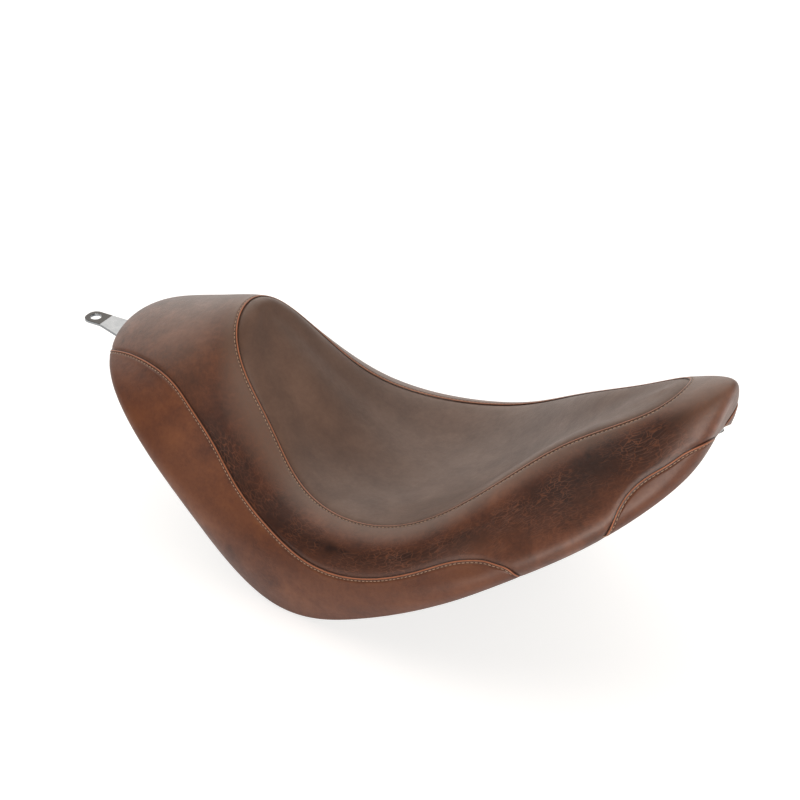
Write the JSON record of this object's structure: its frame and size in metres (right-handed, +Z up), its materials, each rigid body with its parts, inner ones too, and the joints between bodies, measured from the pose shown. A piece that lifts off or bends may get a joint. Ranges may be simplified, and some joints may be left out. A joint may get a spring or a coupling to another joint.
{
  "type": "motorcycle seat",
  "caption": "Solo motorcycle seat: a stitched brown leather cover over foam and a moulded pan, with a steel mounting tab at the rear and a tongue in front.",
  "frame": {"origin": "on the surface that the seat stands on, under the middle of its length and width", "axes": "+X from the rear tab to the nose, +Y to the rider's left, +Z up"},
  "size_m": [0.7805, 0.3616, 0.3127],
  "materials": {
    "leather_centre": "satin",
    "leather_band": "satin",
    "leather_skirt": "satin",
    "thread": "matte",
    "foam": "matte",
    "pan": "satin",
    "pull_strip": "matte",
    "rivets": "satin",
    "chrome_tab": "polished",
    "zinc_hardware": "satin",
    "bumpers": "matte"
  },
  "bodies": {
    "root": {"base_pan": "pan", "foam_cushion": "foam", "centre_panel": "leather_centre", "side_band": "leather_band", "skirt_left": "leather_skirt", "skirt_right": "leather_skirt", "nose_skirt_left": "leather_skirt", "nose_skirt_right": "leather_skirt", "centre_stitching": "thread", "skirt_stitching_left": "thread", "skirt_stitching_right": "thread", "nose_stitching_left": "thread", "nose_stitching_right": "thread", "hem_strip": "pull_strip", "hem_rivets": "rivets", "rear_tab": "chrome_tab", "rear_backing_plate": "zinc_hardware", "rear_bolts": "zinc_hardware", "rear_washers": "zinc_hardware", "rear_nuts": "zinc_hardware", "front_tongue": "zinc_hardware", "tongue_rivets": "zinc_hardware", "bumper_front_left": "bumpers", "bumper_front_right": "bumpers", "bumper_mid_left": "bumpers", "bumper_mid_right": "bumpers", "bumper_rear_left": "bumpers", "bumper_rear_right": "bumpers", "bumper_screws": "zinc_hardware"}
  },
  "joints": []
}
